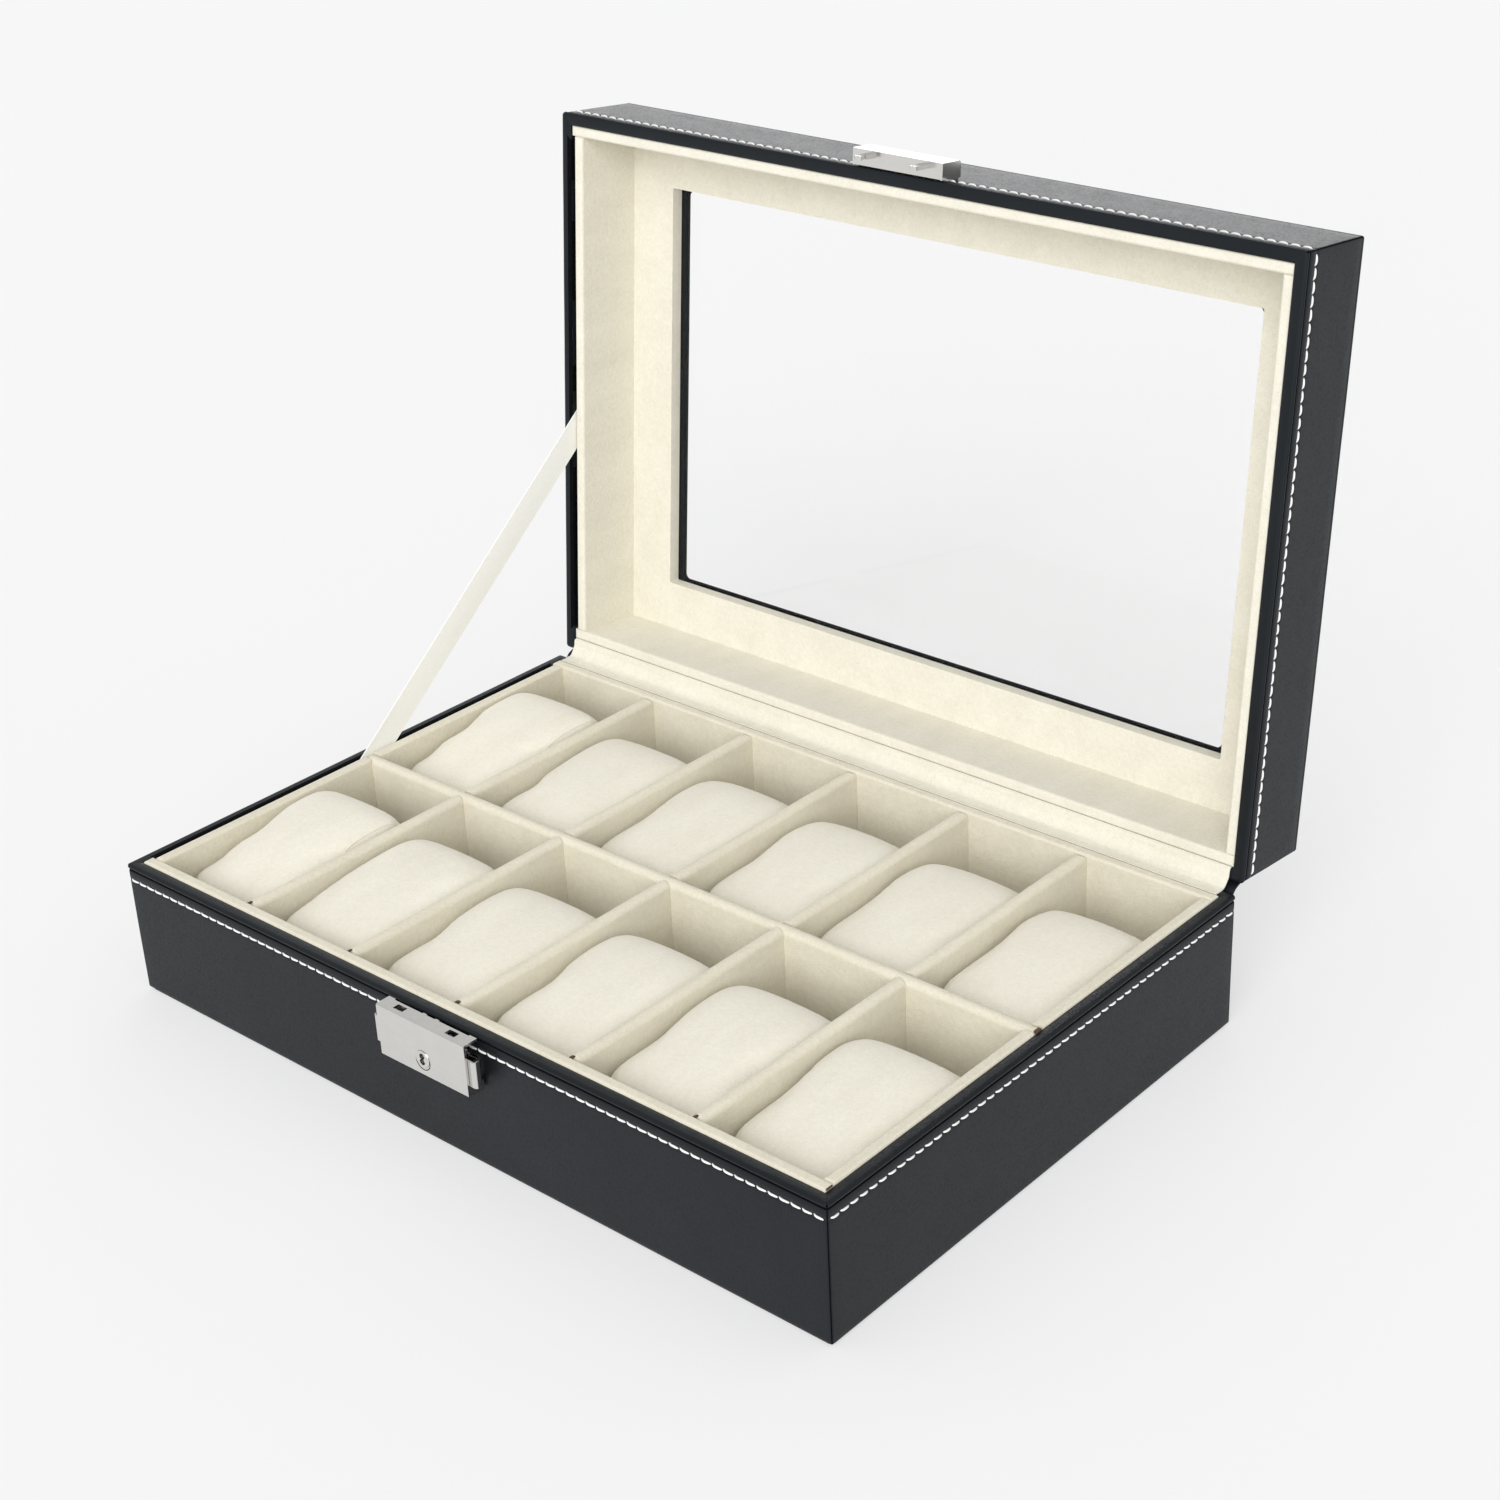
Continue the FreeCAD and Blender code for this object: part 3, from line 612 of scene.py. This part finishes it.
# lift and tilt in millimetres, and fullness: front row and then rear row, left to right
PILLOW_MOODS = [(4.8, 4.0, 0.8), (3.2, 1.2, 1.1), (1.8, 0.4, 1.0), (1.4, 0.8, 1.05), (1.7, 0.2, 1.0),
                (1.5, 0.5, 1.05), (5.0, 4.2, 0.6), (2.4, 0.6, 0.95), (1.4, -0.4, 1.05),
                (1.1, -0.3, 1.0), (1.3, -0.5, 1.05), (1.0, -0.4, 1.0)]


def pillow_shape(low, high, mood):
    """A crowned closed form between two corners: low in front, with a round high back."""
    lift, tilt, full = mood
    scale = (high.y - low.y) / (PILLOW_LENGTH * MM)
    half = (high.x - low.x) / 2
    middle_x = (high.x + low.x) / 2
    stations = [-1, -0.96, -0.9, -0.8, -0.55, -0.25, 0, 0.25, 0.55, 0.8, 0.9, 0.96, 1]
    rings = []
    for u in stations:
        edge = max(0.0, (abs(u) - 0.8) / 0.2)
        crown = CROWN * full * (1 - abs(u) ** 2.2) - EDGE_DROP * (1 - math.sqrt(1 - edge * edge))
        ring = []
        for y, z in PILLOW_OUTLINE:
            top = min(max((z - TOP_FROM) / TOP_BLEND, 0), 1)
            rise = (lift + tilt * (y / PILLOW_LENGTH - 0.5) * 2) * MM * top
            ring.append(Vector((middle_x + half * u, low.y + y * MM * scale,
                                low.z + z * MM + rise + crown * top)))
        rings.append(ring)
    vertices, faces = loft(rings, closed_profile=False)
    size = len(rings[0])
    faces.append(tuple(range(size))[::-1])
    faces.append(tuple(len(vertices) - size + k for k in range(size)))
    return vertices, faces


def applied(piece):
    """Replaces a piece's mesh by the same mesh with its modifiers applied."""
    graph = bpy.context.evaluated_depsgraph_get()
    mesh = bpy.data.meshes.new_from_object(piece.evaluated_get(graph))
    old = piece.data
    piece.modifiers.clear()
    piece.data = mesh
    bpy.data.meshes.remove(old)


def with_modifier(piece, kind, **settings):
    """Adds a modifier with these settings."""
    modifier = piece.modifiers.new(kind.lower(), kind)
    for key, value in settings.items():
        setattr(modifier, key, value)
    return modifier


def blow_up(piece):
    """Swells a closed mesh as cloth under pressure, no point further than SWELL."""
    before = [v.co.copy() for v in piece.data.vertices]
    cloth = with_modifier(piece, "CLOTH")
    cloth.settings.quality = 6
    cloth.settings.mass = 0.25
    cloth.settings.tension_stiffness = 12
    cloth.settings.compression_stiffness = 12
    cloth.settings.bending_stiffness = 0.6
    cloth.settings.use_pressure = True
    cloth.settings.uniform_pressure_force = PRESSURE
    cloth.settings.effector_weights.gravity = 0
    cloth.point_cache.frame_start = 1
    cloth.point_cache.frame_end = SIM_FRAMES
    for number in range(1, SIM_FRAMES + 1):
        bpy.context.scene.frame_set(number)
    applied(piece)
    bpy.context.scene.frame_set(1)
    for vertex, start in zip(piece.data.vertices, before):
        move = vertex.co - start
        if move.length > SWELL:
            vertex.co = start + move.normalized() * SWELL


def fit_between(piece, low, high):
    """Presses a piece flat against the walls beside it: stretched to two corners and held inside."""
    for axis in (0, 1):
        values = [vertex.co[axis] for vertex in piece.data.vertices]
        least = min(values)
        share = (high[axis] - low[axis]) / (max(values) - least)
        for vertex in piece.data.vertices:
            vertex.co[axis] = low[axis] + (vertex.co[axis] - least) * share
    for vertex in piece.data.vertices:
        vertex.co.z = max(vertex.co.z, low.z)


def pillow(name, mood):
    """One watch pillow: shaped, blown up as cloth and pressed into its compartment."""
    low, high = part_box(name)
    vertices, faces = pillow_shape(low, high, mood)
    piece = make_object(name + "_cushion", vertices, faces, PILLOW)
    with_modifier(piece, "REMESH", mode="VOXEL", voxel_size=VOXEL, use_smooth_shade=True)
    applied(piece)
    blow_up(piece)
    with_modifier(piece, "SMOOTH", factor=0.5, iterations=1)
    with_modifier(piece, "SUBSURF", levels=1, render_levels=1)
    applied(piece)
    fit_between(piece, low - Vector((SQUEEZE, 0, 0)), high + Vector((SQUEEZE, 0, 0)))
    piece.data.polygons.foreach_set("use_smooth", [True] * len(piece.data.polygons))
    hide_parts(name)
    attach(piece, name)
    pillow_seams(piece, name, low, high)


def pillow_seams(cushion, name, low, high):
    """A sewn seam round each side of a pillow, where its top and its side panel meet."""
    tree = BVHTree.FromObject(cushion, bpy.context.evaluated_depsgraph_get())
    middle = (low + high) / 2
    vertices = []
    faces = []
    around = 96
    sides = 6
    for side in (-1, 1):
        x = middle.x + side * ((high.x - low.x) / 2 - SEAM_INSET)
        points = []
        for k in range(around):
            turn = 2 * math.pi * k / around
            away = Vector((0, math.cos(turn), math.sin(turn)))
            hit = tree.ray_cast(Vector((x, middle.y, middle.z)) + away * 0.1, -away)[0]
            points.append((hit - away * SEAM_TUBE * 0.15, away))
        first = len(vertices)
        for point, away in points:
            for m in range(sides):
                turn = 2 * math.pi * m / sides
                out = away * math.cos(turn) + Vector((1, 0, 0)) * math.sin(turn)
                vertices.append(point + out * SEAM_TUBE)
        faces += tube_faces(first, around, sides, closed=True)
    piece = make_object(name + "_seams", vertices, faces, PILLOW)
    recalculate(piece)
    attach(piece, name)


# ---------------------------------------------------------------- soft hinge and ribbon
def smooth_path(points, count):
    """Evenly numbered points on the smooth line through the given (y, z) points."""
    ends = [tuple(2 * a - b for a, b in zip(points[0], points[1]))] + points
    ends += [tuple(2 * a - b for a, b in zip(points[-1], points[-2]))]
    made = []
    for i in range(count + 1):
        place = min(i / count * (len(points) - 1), len(points) - 1 - 1e-6)
        k = int(place)
        t = place - k
        made.append(tuple(0.5 * (2 * b + (c - a) * t + (2 * a - 5 * b + 4 * c - d) * t * t
                                 + (3 * b - a - 3 * c + d) * t ** 3)
                          for a, b, c, d in zip(*ends[k:k + 4])))
    return made


def sheet_faces(rows, columns):
    """Faces of a thin closed sheet: two layers of (rows + 1) by (columns + 1) points, and its rim."""
    wide = columns + 1
    top = (rows + 1) * wide
    faces = []
    for i in range(rows):
        for k in range(columns):
            a = i * wide + k
            faces.append((a, a + wide, a + wide + 1, a + 1))
            faces.append((top + a, top + a + 1, top + a + wide + 1, top + a + wide))
        left = i * wide
        right = left + columns
        faces.append((left, top + left, top + left + wide, left + wide))
        faces.append((right, right + wide, top + right + wide, top + right))
    for k in range(columns):
        last = rows * wide + k
        faces.append((k, k + 1, top + k + 1, top + k))
        faces.append((last, top + last, top + last + 1, last + 1))
    return faces


def strip_along_x(name, path, half_width, thick, material, sway):
    """A thin closed band whose section follows a (y, z) path; thick is to the path's left.

    sway is the depth of the small folds in the middle of the path.
    """
    columns = 60
    rows = len(path)
    vertices = []
    for layer in (0, thick):
        for i in range(rows):
            before = path[max(i - 1, 0)]
            after = path[min(i + 1, rows - 1)]
            run = (after[0] - before[0], after[1] - before[1])
            length = math.hypot(*run)
            normal = (-run[1] / length, run[0] / length)
            for k in range(columns + 1):
                x = -half_width + 2 * half_width * k / columns
                fold = noise.noise(Vector((x * 60, i * 0.35, 5.0))) * sway
                fold *= math.sin(math.pi * i / (rows - 1))
                vertices.append(Vector((x, path[i][0] + normal[0] * (layer + fold),
                                        path[i][1] + normal[1] * (layer + fold))))
    piece = make_object(name, vertices, sheet_faces(rows - 1, columns), material)
    piece.data.set_sharp_from_angle(angle=SHARP_EDGE)
    recalculate(piece)
    return piece


def lid_point(reach, depth):
    """(y, z) in the open pose: reach from the lid's back face, depth from its rim."""
    place = SHUT_TO_OPEN @ Vector((0, half_y - reach, lid_low.z + depth))
    return place.y, place.z


def hinge_band_inside():
    """Velvet glued to both back rims, which bridges the hinge line."""
    half_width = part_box("hinge_velvet")[1].x + 1.2 * MM
    on_rim = rim_z + 0.06 * MM
    recess = shut_box("lid_liner_back")[0].z - lid_low.z
    path = [(cell_back + 3.8 * MM, on_rim + 0.15 * MM), (cell_back + 5.2 * MM, on_rim),
            (half_y - 0.9 * MM, on_rim + 0.05 * MM), (half_y + 1.2 * MM, on_rim + 0.5 * MM),
            lid_point(0.9 * MM, -0.35 * MM), lid_point(2.6 * MM, -0.1 * MM),
            lid_point(rim - 0.3 * MM, 0.0), lid_point(rim + 0.1 * MM, recess + 0.05 * MM)]
    piece = strip_along_x("hinge_velvet_band", smooth_path(path, 24), half_width, 0.28 * MM, VELVET,
                          0.25 * MM)
    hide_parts("hinge_velvet")
    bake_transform(piece)


def hinge_band_outside():
    """Leather glued to the base's back and the lid's back, which wraps the hinge from outside."""
    low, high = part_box("hinge_leather")
    half_width = high.x + 4.0 * MM
    wall = half_y + 0.05 * MM
    path = [(wall, low.z + 2 * MM), (wall, rim_z - 9 * MM), (wall + 0.1 * MM, rim_z - 5 * MM),
            (wall + 1.2 * MM, rim_z - 1.6 * MM), (wall + 3.0 * MM, rim_z + 0.3 * MM),
            lid_point(-0.1 * MM, 4.0 * MM), lid_point(-0.05 * MM, 7.0 * MM),
            lid_point(-0.05 * MM, 18.0 * MM)]
    piece = strip_along_x("hinge_leather_band", smooth_path(path, 32), half_width, -LEATHER_THICK, LEATHER,
                          0.15 * MM)
    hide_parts("hinge_leather")
    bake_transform(piece)


def ribbon():
    """A satin ribbon pulled tight between its two slots; its ends are glued inside them."""
    width = 10.0 * MM
    thick = 0.32 * MM
    tuck = 12.0 * MM                            # glued length at each end
    low = Vector((0, 5.0 * MM, rim_z))
    high = Vector((0, *lid_point(84.0 * MM, 0)))
    x = (ribbon_low.x + ribbon_high.x) / 2
    along = (high - low).normalized()
    across = Vector((0, -along.z, along.y))
    start = low - along * tuck
    length = (high - low).length + 2 * tuck
    rows = 90
    columns = 8
    vertices = []
    for layer in (-0.5, 0.5):
        for i in range(rows + 1):
            t = i / rows
            middle = start + along * length * t
            wave = math.sin(math.pi * t) * 0.25 * MM
            for k in range(columns + 1):
                u = -1 + 2 * k / columns
                edge = 0.10 * MM if abs(u) == 1 else 0.0       # woven edges are a little thicker
                bow = wave * (1 - u * u) + layer * (thick + edge)
                vertices.append(middle + across * u * width / 2 + Vector((x + bow, 0, 0)))
    piece = make_object("ribbon", vertices, sheet_faces(rows, columns), RIBBON)
    piece.data.set_sharp_from_angle(angle=math.radians(60))
    recalculate(piece)
    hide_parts("ribbon_stay")
    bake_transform(piece)


# ---------------------------------------------------------------- leaf springs
def bending_spring(name):
    """A leaf spring: a copy of its node's mesh, held on the base."""
    node = nodes[name]
    piece = bpy.data.objects.new(name + "_leaf", node.data.copy())
    piece.matrix_world = node.matrix_world.copy()
    bpy.context.scene.collection.objects.link(piece)
    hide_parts(name)
    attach(piece, "base")
    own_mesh(piece)


# ---------------------------------------------------------------- painted shade in the gap round the key barrel
def barrel_gap_painted_shade():
    """A thin near-black ring of painted shade on the lock's face, standing for the shade in the clearance between
    the key barrel and its hole.
    """
    low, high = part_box("key_barrel")
    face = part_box("lock_case")[0].y
    middle = Vector(((low.x + high.x) / 2, face, (low.z + high.z) / 2))
    steps = 48
    profile = [(2.86 * MM, 0.0), (2.90 * MM, -0.05 * MM), (3.12 * MM, -0.05 * MM), (3.16 * MM, 0.0)]
    rings = []
    for reach, out in profile:
        rings.append([middle + Vector((reach * math.cos(2 * math.pi * k / steps), out,
                                       reach * math.sin(2 * math.pi * k / steps))) for k in range(steps)])
    vertices, faces = loft(rings)
    piece = make_object("barrel_gap_painted_shade", vertices, faces, PAINTED_SHADE)
    recalculate(piece)
    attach(piece, "base")


# ---------------------------------------------------------------- small bare board ends
def board_block(name, low, high, bevel):
    """A small block of raw board with round edges, on the base."""
    corners = [Vector((x, y, z)) for x in (low[0], high[0]) for y in (low[1], high[1])
               for z in (low[2], high[2])]
    faces = [(0, 1, 3, 2), (4, 6, 7, 5), (0, 4, 5, 1), (2, 3, 7, 6), (0, 2, 6, 4), (1, 5, 7, 3)]
    piece = make_object(name, corners, faces, BOARD)
    recalculate(piece)
    with_modifier(piece, "BEVEL", width=bevel, segments=3)
    applied(piece)
    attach(piece, "base")


def board_ends():
    """Raw board shows at the dividers' ends, where the velvet doesn't quite cover it."""
    for number in range(1, 6):
        low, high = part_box("cross_divider_%d" % number)
        middle = (low.x + high.x) / 2
        radius = (high.x - low.x) / 2
        vertices = []
        faces = []
        steps = 8
        start = 80 + 7 * number % 20                # the bare spot differs from end to end
        for k in range(steps + 1):
            turn = math.radians(start + (172 - start) * k / steps)
            for reach in (radius - 0.35 * MM, radius + 0.12 * MM):
                for y in (low.y - 0.02 * MM, low.y + 1.1 * MM):
                    vertices.append(Vector((middle + reach * math.cos(turn), y,
                                            high.z - radius + reach * math.sin(turn))))
        for k in range(steps):
            a = 4 * k
            b = a + 4
            faces += [(a, b, b + 1, a + 1), (a + 2, a + 3, b + 3, b + 2), (a, a + 2, b + 2, b),
                      (a + 1, b + 1, b + 3, a + 3)]
        last = 4 * steps
        faces += [(0, 1, 3, 2), (last, last + 2, last + 3, last + 1)]
        piece = make_object("divider_core_%d" % number, vertices, faces, BOARD)
        recalculate(piece)
        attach(piece, "base")
    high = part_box("long_divider")[1]
    board_block("long_divider_core", (high.x - 1.0 * MM, -1.3 * MM, high.z - 0.8 * MM),
                (high.x + 0.2 * MM, 1.2 * MM, high.z + 0.16 * MM), 0.15 * MM)
    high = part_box("liner_right")[1]
    board_block("liner_corner_core", (high.x - 0.3 * MM, -half_y + rim + 0.6 * MM, liner_z - 0.7 * MM),
                (high.x + 0.08 * MM, -half_y + rim + 3.2 * MM, liner_z + 0.02 * MM), 0.2 * MM)


def soften_edges():
    """Soft edges: velvet boards leave fine grooves where two of them meet, metal catches the light."""
    for name, node in nodes.items():
        if name.startswith(("liner_", "lid_liner_", "lid_inner_panel", "long_divider", "cross_divider")):
            with_modifier(node, "BEVEL", width=0.6 * MM, segments=3, limit_method="ANGLE",
                          angle_limit=math.radians(50))
    for name in ("lock_case", "catch_case", "left_button", "right_button"):
        with_modifier(nodes[name], "BEVEL", width=0.2 * MM, segments=2, limit_method="ANGLE",
                      angle_limit=math.radians(60))


# ---------------------------------------------------------------- floor, light and camera
FLOOR_GREY = 0.42
FLOOR_GLOW = 0.50
SURROUND = 0.70
KEY_LIGHT = 2.05
BACK_LIGHT = 0.45
CAMERA_PLACE = (0.5165, -0.5170, 0.4677)
CAMERA_ANGLES = (40.316, 27.232, -1.723)   # azimuth, elevation and roll, in degrees
CAMERA_LENS = 62.76                        # in millimetres, for a picture 36 mm wide
CAMERA_SHIFT = -0.0667


def sun(name, towards, strength, spread):
    """A very large far light: it lights the whole floor evenly. spread is its width in degrees."""
    data = bpy.data.lights.new(name, "SUN")
    data.energy = strength
    data.angle = math.radians(spread)
    light = bpy.data.objects.new(name, data)
    light.rotation_euler = Vector(towards).to_track_quat("Z", "Y").to_euler()
    bpy.context.scene.collection.objects.link(light)


def studio():
    """A plain pale floor that glows a little, a bright surround and two very soft lights."""
    size = 20.0                                 # half the floor's side, in metres
    corners = [(-size, -size, 0), (size, -size, 0), (size, size, 0), (-size, size, 0)]
    material, _, shader = new_material("floor_paper")
    shader.inputs["Base Color"].default_value = (FLOOR_GREY, FLOOR_GREY, FLOOR_GREY, 1)
    shader.inputs["Roughness"].default_value = 1.0
    shader.inputs["Specular IOR Level"].default_value = 0.0
    shader.inputs["Emission Color"].default_value = (1.0, 1.0, 1.0, 1)
    shader.inputs["Emission Strength"].default_value = FLOOR_GLOW
    floor = make_object("floor", corners, [(0, 1, 2, 3)], material, smooth=False)
    world = bpy.data.worlds.new("surround")
    bpy.context.scene.world = world
    world.use_nodes = True
    background = world.node_tree.nodes["Background"]
    background.inputs["Color"].default_value = (1.0, 1.0, 1.0, 1)
    background.inputs["Strength"].default_value = SURROUND
    sun("key", (0.40, -0.78, 0.46), KEY_LIGHT, 45)
    sun("behind", (-0.575, 0.80, 0.16), BACK_LIGHT, 30)
    bpy.context.scene.view_settings.view_transform = "Standard"


def camera():
    """A view of the open box from its front right corner, from above."""
    azimuth, elevation, roll = [math.radians(angle) for angle in CAMERA_ANGLES]
    back = Vector((math.sin(azimuth) * math.cos(elevation), -math.cos(azimuth) * math.cos(elevation),
                   math.sin(elevation)))
    right = (-back).cross(Vector((0, 0, 1))).normalized()
    up = back.cross(right)
    turned_right = right * math.cos(roll) + up * math.sin(roll)
    turned_up = up * math.cos(roll) - right * math.sin(roll)
    data = bpy.data.cameras.new("camera")
    data.sensor_width = 36
    data.lens = CAMERA_LENS
    data.shift_x = CAMERA_SHIFT
    data.clip_start = 0.01
    data.clip_end = 50
    piece = bpy.data.objects.new("camera", data)
    turn = Matrix((turned_right, turned_up, back)).transposed().to_4x4()
    piece.matrix_world = Matrix.Translation(CAMERA_PLACE) @ turn
    bpy.context.scene.collection.objects.link(piece)
    bpy.context.scene.camera = piece


dress_cad_nodes()
base_wrap()
lid_wrap()
stitching("base_stitching", "base", rim_z - STITCH_DROP, Matrix.Identity(4), 11)
stitching("lid_stitching", "lid", lid_low.z + STITCH_DROP, SHUT_TO_OPEN, 12)
for pillow_name, pillow_mood in zip(pillow_names, PILLOW_MOODS):
    pillow(pillow_name, pillow_mood)
hinge_band_inside()
hinge_band_outside()
ribbon()
board_ends()
bending_spring("left_spring")
bending_spring("right_spring")
barrel_gap_painted_shade()
soften_edges()
studio()
camera()
